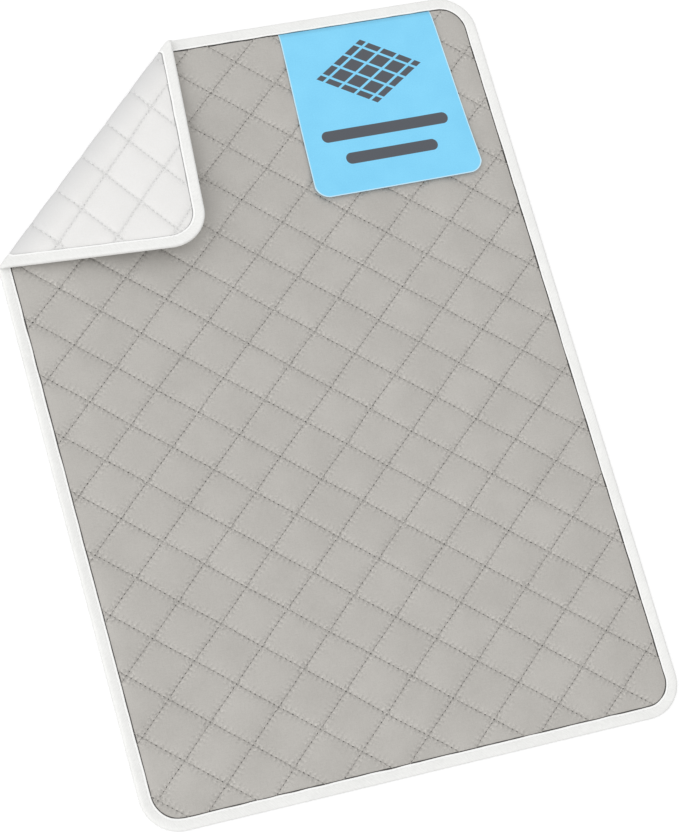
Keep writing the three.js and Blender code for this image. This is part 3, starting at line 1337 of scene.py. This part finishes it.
@dataclass
class Binding:
    """White tape folded over the edge all round, in metres."""

    plan: PadPlan
    fold: Fold
    finish: TapeFinish
    spacing: float = 0.0034
    columns: int = 40
    thickness: float = 0.0006
    height: float = 0.0051
    nose: float = 0.0027
    nose_power: float = 0.65
    fall: float = 0.0007
    groove: float = 0.0020
    groove_depth: float = 0.00030
    groove_width: float = 0.00040
    lip: float = 0.0006
    lip_depth: float = 0.0003
    lower_fall: float = 0.4
    lower_groove: float = 0.5
    lower_lift: float = -0.3
    free_from: float = 0.003
    free_reach: float = 0.006
    edge_wave: Ripple = Ripple(0.00018, 0.030, seed=11)
    top_wave: Ripple = Ripple(0.00010, 0.016, seed=12, waves=20)
    weld: float = 0.00001
    piece: Optional[Piece] = None

    def section(self) -> Array:
        """Gives the tape's outer line from its lower to its upper inner edge.

        Returns:
            Distance in from the edge and height, one row for each column of the tape.
        """
        half = self.height / 2
        width = self.plan.tape_width
        turn = np.linspace(-math.pi / 2, math.pi / 2, self.columns // 2)
        nose_in = self.nose - self.nose * np.cos(turn) ** self.nose_power
        nose_up = half + half * np.sin(turn)
        run = np.linspace(width, self.nose, self.columns // 2)[:-1]
        fall = self.fall * smooth((run - self.nose) / (width - self.nose))
        off_groove = (run - (width - self.groove)) / self.groove_width
        groove = self.groove_depth * np.exp(-(off_groove ** 2))
        lip = self.lip_depth * smooth((run - (width - self.lip)) / self.lip)
        low = np.column_stack([run, self.lower_fall * fall + groove * self.lower_groove + lip])
        high = np.column_stack([run, self.height - fall - groove - lip])[::-1]
        return np.vstack([low, np.column_stack([nose_in, nose_up]), high])

    def build(self) -> Piece:
        """Wraps a flat strip round the edge and turns its corner.

        Returns:
            The finished piece.
        """
        path, inward, walked = self.plan.walk(self.spacing)
        section = self.section()
        rows, columns = len(path), len(section)
        piece = add_grid("binding", columns - 1, rows)
        grid = read_points(piece)
        column = np.rint((grid[:, 0] + 0.5) * (columns - 1)).astype(int)
        row = np.rint((grid[:, 1] + 0.5) * rows).astype(int)
        station = row % rows
        along = walked[row]
        round_angle = along / walked[-1] * math.tau
        loop = np.column_stack([np.cos(round_angle), np.sin(round_angle)]) * (walked[-1] / math.tau)
        inset, up = section[column, 0], section[column, 1]
        free = smooth((inset - self.free_from) / self.free_reach)
        lift = free * np.where(up > self.height / 2, 1.0, self.lower_lift)
        inset = inset + free * self.edge_wave.over(loop)
        up = up + lift * self.top_wave.over(loop)
        plan = path[station] + inward[station] * inset[:, None]
        write_points(piece, np.column_stack([plan, up]))
        store_flat(piece, np.column_stack([along, lengths_along(section)[column]]))
        with editing(piece):
            bpy.ops.mesh.remove_doubles(threshold=self.weld)
            bpy.ops.mesh.normals_make_consistent(inside=False)
        if self.faces_inward(piece):
            piece.data.flip_normals()
        thicken(piece, self.thickness, offset=-1.0)
        self.fold.turn_over(piece, self.plan)
        self.piece = piece
        return piece

    def faces_inward(self, piece: Piece) -> bool:
        """Tells whether the strip's faces at the far right point into the pad."""
        right = read_rows(piece.data.polygons, "center")[:, 0] > self.plan.width / 2 - MM
        return float(read_rows(piece.data.polygons, "normal")[right, 0].mean()) < 0.0

    def dress(self) -> None:
        """Gives the tape its finish and hides the CAD parts that it replaces."""
        width = float(lengths_along(self.section())[-1])
        length = float(self.plan.walk(self.spacing)[2][-1])
        self.piece.data.materials.append(self.finish.material(width))
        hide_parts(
            "binding_main", "binding_corner", "binding_fold_left", "binding_fold_top",
        )


@dataclass
class Stitching:
    """Separate stitches in rows, each a short thread lying on the cloth, in metres."""

    name: str
    slot: str
    finish: FibreFinish
    plan: PadPlan
    fold: Fold
    seed: int = 21
    length: float = 0.0036
    radius: float = 0.00036
    flatness: float = 0.8
    dive: float = 0.00035
    sink: float = 0.00004
    most_sunk: float = 2.5
    slant: tuple[float, float] = (0.06, 0.05)
    longer: tuple[float, float] = (0.85, 1.08)
    sway: float = 0.00008
    piece: Optional[Piece] = None

    def places(self) -> tuple[Array, Array, Array]:
        """Lists the stitches on the flat pad.

        Returns:
            Middle points, directions in plan, and 1 or -1 for stitches that face up or down.
        """
        raise NotImplementedError

    def build(self) -> Piece:
        """Models one stitch and copies it to every place.

        Returns:
            All stitches as one piece.
        """
        ball = {"segments": 5, "ring_count": 6, "radius": 1.0}
        piece = add_primitive(self.name, bpy.ops.mesh.primitive_uv_sphere_add, **ball)
        stitch = read_points(piece)[:, [2, 0, 1]]
        dip = self.dive * stitch[:, 0] ** 2
        stitch *= (self.length / 2, self.radius, self.radius * self.flatness)
        faces = [tuple(face.vertices) for face in piece.data.polygons]
        middles, headings, up = self.places()
        draw = np.random.default_rng(self.seed)
        count = len(middles)
        turn = draw.normal(*self.slant, count)
        longer = draw.uniform(*self.longer, count)
        deeper = draw.uniform(0.0, self.most_sunk, count) * self.sink
        sway = draw.normal(0.0, self.sway, count)
        heading = np.column_stack([
            headings[:, 0] * np.cos(turn) - headings[:, 1] * np.sin(turn),
            headings[:, 0] * np.sin(turn) + headings[:, 1] * np.cos(turn),
        ])
        across = np.column_stack([-heading[:, 1], heading[:, 0]])
        middle = middles[:, :2] + across * sway[:, None]
        plan = (
            middle[:, None, :]
            + heading[:, None, :] * stitch[None, :, 0:1] * longer[:, None, None]
            + across[:, None, :] * stitch[None, :, 1:2]
        )
        level = (middles[:, 2] - up * deeper)[:, None]
        height = level + stitch[None, :, 2] - up[:, None] * dip[None, :]
        points = np.dstack([plan, height]).reshape(-1, 3)
        starts = range(0, count * len(stitch), len(stitch))
        every = [tuple(start + index for index in face) for start in starts for face in faces]
        piece.data.clear_geometry()
        piece.data.from_pydata(points.tolist(), [], every)
        piece.data.update()
        self.fold.turn_over(piece, self.plan, finer=False)
        self.piece = piece
        return piece

    def dress(self) -> None:
        """Gives the thread its finish."""
        self.piece.data.materials.append(self.finish.material())


@dataclass
class QuiltStitching(Stitching):
    """Stitches along the quilting lines of one side."""

    sheet: Optional[QuiltedSheet] = None
    under_tape: float = 0.001
    lift: float = 0.6

    def places(self) -> tuple[Array, Array, Array]:
        """Lists the stitches along both sets of lines, up to the tape.

        Returns:
            Middle points, directions in plan, and which way the stitches face.
        """
        quilt = self.sheet.quilt
        reach = quilt.cells // 2
        run = (np.arange(-reach * quilt.stitches, reach * quilt.stitches) + 0.5) / quilt.stitches
        middles, headings = [], []
        for axis in (0, 1):
            heading = quilt.steps[:, axis] / quilt.edge
            for line in range(-reach, reach + 1):
                lattice = np.empty((len(run), 2))
                lattice[:, axis] = run
                lattice[:, 1 - axis] = line
                middle = quilt.sewn(quilt.to_plan(lattice))
                inside = self.plan.depth(middle) > self.plan.tape_width - self.under_tape
                middles.append(middle[inside])
                headings.append(np.tile(heading, (int(inside.sum()), 1)))
        plan = np.vstack(middles)
        up = 1.0 if self.sheet.side is Side.COVER else -1.0
        level = np.full(len(plan), self.sheet.seam_level + up * self.radius * self.lift)
        return np.column_stack([plan, level]), np.vstack(headings), np.full(len(plan), up)


@dataclass
class TapeStitching(Stitching):
    """The seam of the tape, on its upper and lower side."""

    binding: Optional[Binding] = None
    step: float = 0.0045
    ahead: float = 0.0005
    lift: float = 0.5

    def places(self) -> tuple[Array, Array, Array]:
        """Lists the stitches in the tape's groove, all round on both sides.

        Returns:
            Middle points, directions in plan, and which way the stitches face.
        """
        path, inward, _ = self.plan.walk(self.binding.spacing)
        inset = self.plan.tape_width - self.binding.groove
        line = path + inward * inset
        closed = np.vstack([line, line[:1]])
        lengths = lengths_along(closed)
        count = int(lengths[-1] / self.step)
        at = (np.arange(count) + 0.5) * lengths[-1] / count
        middle, ahead = (
            np.column_stack([np.interp(place, lengths, closed[:, axis]) for axis in (0, 1)])
            for place in (at, at + self.ahead)
        )
        heading = (ahead - middle) / np.linalg.norm(ahead - middle, axis=1)[:, None]
        section = self.binding.section()
        half = len(section) // 2
        low = float(np.interp(-inset, -section[:half, 0], section[:half, 1]))
        high = float(np.interp(inset, section[half:, 0], section[half:, 1]))
        lift = self.radius * self.lift
        levels = np.repeat([high + lift, low - lift], count)
        points = np.column_stack([np.vstack([middle, middle]), levels])
        return points, np.vstack([heading, heading]), np.repeat([1.0, -1.0], count)


@dataclass
class Label:
    """Light blue sheet that comes out from under the top tape, in metres."""

    plan: PadPlan
    finish: LabelFinish
    edge: FibreFinish
    columns: int = 56
    rows: int = 64
    centre: float = 0.1342
    lean: float = -0.0020
    top_width: float = 0.150
    bottom_width: float = 0.1645
    drop: float = 0.1645
    tuck: float = 0.007
    rounding: float = 0.014
    rounding_cuts: int = 12
    thickness: float = 0.0004
    tab_level: float = 0.0035
    lie_level: float = 0.0060
    climb_reach: float = 0.0050
    curl: float = 0.0026
    curl_from: float = 0.07
    wave: Ripple = Ripple(0.00018, 0.09, seed=31, waves=8)
    deepest_wave: float = -0.0001
    bend: float = 0.004
    motif_drop: float = 0.050
    motif_width: float = 0.052
    motif_height: float = 0.032
    bar_height: float = 0.011
    bar_drops: tuple[float, float] = (0.107, 0.131)
    bar_halves: tuple[float, float] = (0.062, 0.045)
    rim_highlight_width: float = 0.0011
    # Widths of the painted shadow line and the painted shade below the tape.
    tape_shadow_width: float = 0.0012
    shade_reach: float = 0.0060
    hidden_reach: float = 0.006
    sharp_angle: float = math.radians(40.0)
    piece: Optional[Piece] = None

    @property
    def tape_edge(self) -> float:
        """Gives the y of the tape's inner edge."""
        return self.plan.length / 2 - self.plan.tape_width

    def build(self) -> Piece:
        """Cuts the sheet, lays it over the diamonds and gives it its thickness.

        Returns:
            The finished piece.
        """
        piece = add_grid("label", self.columns, self.rows)
        grid = read_points(piece)
        down = (0.5 - grid[:, 1]) * (self.drop + self.tuck) - self.tuck
        widening = (self.bottom_width - self.top_width) * np.clip(down / self.drop, 0.0, 1.0)
        across = grid[:, 0] * (self.top_width + widening)
        write_points(piece, np.column_stack([across, -down, np.zeros(len(grid))]))
        cut(piece, self.corner_planes(), trim=True)
        points = read_points(piece)
        store_flat(piece, np.column_stack([points[:, 0], -points[:, 1]]))
        write_points(piece, self.laid(points))
        thicken(piece, self.thickness, offset=0.0, material_offset_rim=int(LabelFace.EDGE))
        piece.data.materials.append(self.finish.material(self))
        piece.data.materials.append(self.edge.material())
        back = replace(self.finish, name="label_back")
        piece.data.materials.append(back.material(self, printed=False))
        self.colour_sides(piece)
        shade_smooth(piece)
        only_select(piece)
        bpy.ops.object.shade_smooth_by_angle(angle=self.sharp_angle)
        self.piece = piece
        return piece

    def corner_planes(self) -> list[Plane]:
        """Lists the cuts that round the two lower corners.

        Returns:
            A point and an outward direction for each cut.
        """
        planes = []
        middle = self.bottom_width / 2 - self.rounding
        for side in (-1.0, 1.0):
            centre = Vector((side * middle, self.rounding - self.drop, 0.0))
            for step in range(1, self.rounding_cuts):
                angle = step * math.pi / 2 / self.rounding_cuts
                out = Vector((side * math.cos(angle), -math.sin(angle), 0.0))
                planes.append((centre + out * self.rounding, out))
        return planes

    def laid(self, points: Array) -> Array:
        """Lays the flat sheet on the pad.

        Args:
            points: Points of the flat sheet, with y up and 0 at the tape's edge.

        Returns:
            The points on the pad.
        """
        down = -points[:, 1]
        climb = 1.0 - np.exp(-np.maximum(down, 0.0) / self.climb_reach)
        bent_part = (down - self.curl_from) / (self.drop - self.curl_from)
        curl = self.curl * np.clip(bent_part, 0.0, 1.0) ** 2
        wave = self.wave.over(points) * climb
        level = self.tab_level + (self.lie_level - self.tab_level) * climb + curl
        level = level + np.maximum(wave, self.deepest_wave)
        middle = self.centre + self.lean * np.clip(down / self.drop, 0.0, 1.0)
        return np.column_stack([points[:, 0] + middle, self.tape_edge - down, level])

    def colour_sides(self, piece: Piece) -> None:
        """Gives the sheet's cut edge and its plain back their own materials.

        Args:
            piece: The sheet, with its materials in the order of its faces' names.
        """
        for face in piece.data.polygons:
            upright = abs(face.normal.z) < 0.5
            if upright and face.center.y < self.tape_edge - self.hidden_reach:
                face.material_index = LabelFace.EDGE
            else:
                face.material_index = LabelFace.BACK if face.normal.z < 0.0 else LabelFace.FRONT

    def dress(self) -> None:
        """Bakes the sheet's transform into its mesh and hides the CAD parts that it replaces."""
        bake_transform(self.piece)
        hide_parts("label_tab", "label_flap")


@dataclass
class Studio:
    """Pale floor, soft light and the photograph's camera, in metres."""

    camera_place: tuple[float, float, float] = (-0.88688, -0.69776, 2.59639)
    camera_aim: tuple[float, float, float] = (0.01463, -0.02762, 0.0)
    camera_roll: float = math.radians(39.6328)
    camera_reach: float = 50.0
    focal_px: float = 3201.95
    sensor_mm: float = 24.0
    floor_size: float = 8.0
    floor_level: float = -0.0003
    floor_color: float = 0.75
    floor_lift: float = 0.36
    ambient: float = 0.64
    lean: float = 0.95
    light_from: tuple[float, float, float] = (-0.58, -0.15, 0.80)
    key_energy: float = 6.0
    key_place: tuple[float, float, float] = (-2.0, -0.5, 1.9)
    key_size: float = 1.5

    def build(self) -> None:
        """Sets up the floor, the light and the camera."""
        self.lay_floor()
        self.light()
        self.point_camera()
        bpy.context.scene.view_settings.view_transform = "Standard"

    def lay_floor(self) -> None:
        """Adds a pale floor that shows white and keeps the pad's shadow."""
        plane = {"size": self.floor_size, "location": (0.0, 0.0, self.floor_level)}
        floor = add_primitive("floor", bpy.ops.mesh.primitive_plane_add, **plane)
        tree = FinishTree("floor_white")
        grey = (*[self.floor_color] * 3, 1.0)
        matt = tree.node("ShaderNodeBsdfDiffuse", sockets={"Color": grey})
        lift = {"Strength": self.seen(tree) * self.floor_lift}
        glow = tree.node("ShaderNodeEmission", sockets=lift)
        tree.end(tree.node("ShaderNodeAddShader", sockets={0: matt, 1: glow}))
        floor.data.materials.append(tree.material)

    def seen(self, tree: FinishTree) -> Shade:
        """Tells what is looked at from what only gives light.

        Args:
            tree: The tree of the floor or the sky.

        Returns:
            1 for what the camera, a reflection or a clear piece shows, or else 0.
        """
        ray = tree.node("ShaderNodeLightPath", out="Is Camera Ray")
        outputs = ray.socket.node.outputs
        glossy, clear = (outputs[f"Is {kind} Ray"] for kind in ("Glossy", "Transmission"))
        return ray.most(Shade(tree, glossy)).most(Shade(tree, clear))

    def light(self) -> None:
        """Adds a sky that is brighter on the left and one large soft lamp from there."""
        world = bpy.data.worlds.new("studio")
        bpy.context.scene.world = world
        tree = FinishTree("studio", world)
        heading = tree.node("ShaderNodeTexCoord", out="Generated")
        dot = {0: heading, 1: self.light_from}
        facing = tree.node("ShaderNodeVectorMath", {"operation": "DOT_PRODUCT"}, dot, out="Value")
        seen = self.seen(tree)
        strength = (facing * self.lean + 1.0) * self.ambient * (1.0 - seen) + seen
        white = {"Color": (1.0, 1.0, 1.0, 1.0), "Strength": strength}
        tree.end(tree.node("ShaderNodeBackground", sockets=white), "ShaderNodeOutputWorld")
        lamp = bpy.data.lights.new("key", "AREA")
        lamp.energy = self.key_energy
        lamp.size = self.key_size
        key = bpy.data.objects.new("key", lamp)
        key.location = self.key_place
        key.rotation_euler = (-Vector(self.key_place)).to_track_quat("-Z", "Y").to_euler()
        bpy.context.scene.collection.objects.link(key)

    def point_camera(self) -> None:
        """Adds the camera at the photograph's place, turned about its own axis."""
        data = bpy.data.cameras.new("camera")
        data.sensor_fit = "VERTICAL"
        data.sensor_height = self.sensor_mm
        data.lens = self.sensor_mm * self.focal_px / PHOTO_HEIGHT_PX
        data.clip_end = self.camera_reach
        camera = bpy.data.objects.new("camera", data)
        place = Vector(self.camera_place)
        look = (Vector(self.camera_aim) - place).to_track_quat("-Z", "Y").to_matrix().to_4x4()
        roll = Matrix.Rotation(self.camera_roll, 4, "Z")
        camera.matrix_world = Matrix.Translation(place) @ look @ roll
        bpy.context.scene.collection.objects.link(camera)
        bpy.context.scene.camera = camera


COVER_CLOTH = ClothFinish(
    name="cover_cloth",
    light=linear(193, 190, 185),
    dark=linear(175, 172, 167),
    seam=linear(154, 151, 146),
    hole_and_crease_shade=linear(64, 62, 60),
    border=linear(70, 68, 66),
    seam_shade_width=0.0011,
    seam_shade_strength=0.02,
    hole_radius=0.00046,
    pucker_shading_strength=0.55,
)
BACKING_CLOTH = ClothFinish(
    name="backing_cloth",
    light=linear(238, 237, 236),
    dark=linear(230, 229, 227),
    seam=linear(214, 214, 213),
    hole_and_crease_shade=linear(214, 214, 214),
    border=linear(180, 180, 180),
    # A soft band of painted shade along the backing's stitch lines.
    seam_shade_width=0.0026,
    seam_shade_strength=0.40,
    hole_radius=0.00025,
    border_width=0.0009,
    pucker_depth=0.0004,
    # The backing gets the full painted shade along the fold's crease.
    crease_shade_strength=1.0,
)
GREY_THREAD = FibreFinish("grey_thread", linear(186, 183, 178), linear(164, 161, 156))
PALE_THREAD = FibreFinish("pale_thread", linear(243, 243, 241), linear(232, 232, 230))
WHITE_THREAD = FibreFinish("white_thread", linear(250, 250, 249), linear(236, 236, 235))
FELT = FibreFinish(
    name="wadding_felt",
    light=linear(236, 231, 222),
    dark=linear(214, 208, 197),
    scale=700.0,
    detail=5.0,
    grit=0.7,
    clump_share=0.4,
    smoothest=0.9,
    roughening=0.1,
    depth=0.0003,
    specular=0.1,
)
# Paler blue of the sheet's cut edge, a painted highlight.
LABEL_EDGE = FibreFinish(
    name="label_edge",
    light=linear(206, 238, 252),
    dark=linear(186, 228, 248),
    scale=900.0,
    detail=3.0,
    smoothest=0.55,
    roughening=0.2,
    depth=0.00003,
    specular=0.5,
)


def main() -> None:
    """Builds, dresses and reports every piece."""
    logging.basicConfig(level=logging.INFO, format="%(name)s: %(message)s")
    plan = PadPlan()
    quilt = Quilt()
    fold = Fold.from_joint("corner_fold")
    pad = (plan, fold)
    Studio().build()
    cover = QuiltedSheet(plan, quilt, fold, side=Side.COVER, finish=COVER_CLOTH)
    backing = QuiltedSheet(plan, quilt, fold, side=Side.BACKING, finish=BACKING_CLOTH)
    wadding = Wadding(plan, quilt, fold, finish=FELT, cover=cover, backing=backing)
    binding = Binding(*pad, TapeFinish())
    threads = (
        QuiltStitching("cover_thread", "cover_cloth", GREY_THREAD, *pad, sheet=cover),
        QuiltStitching("backing_thread", "backing_cloth", PALE_THREAD, *pad, 22, sheet=backing),
        TapeStitching("binding_thread", "binding_tape", WHITE_THREAD, *pad, 23, binding=binding),
    )
    label = Label(plan, LabelFinish(), LABEL_EDGE)
    parts = (wadding, cover, backing, binding, *threads, label)
    for part in parts:
        part.build()
    for part in parts:
        part.dress()
        LOG.info("%s: %d faces", part.piece.name, len(part.piece.data.polygons))
    bpy.context.view_layer.update()


if __name__ == "__main__":
    main()
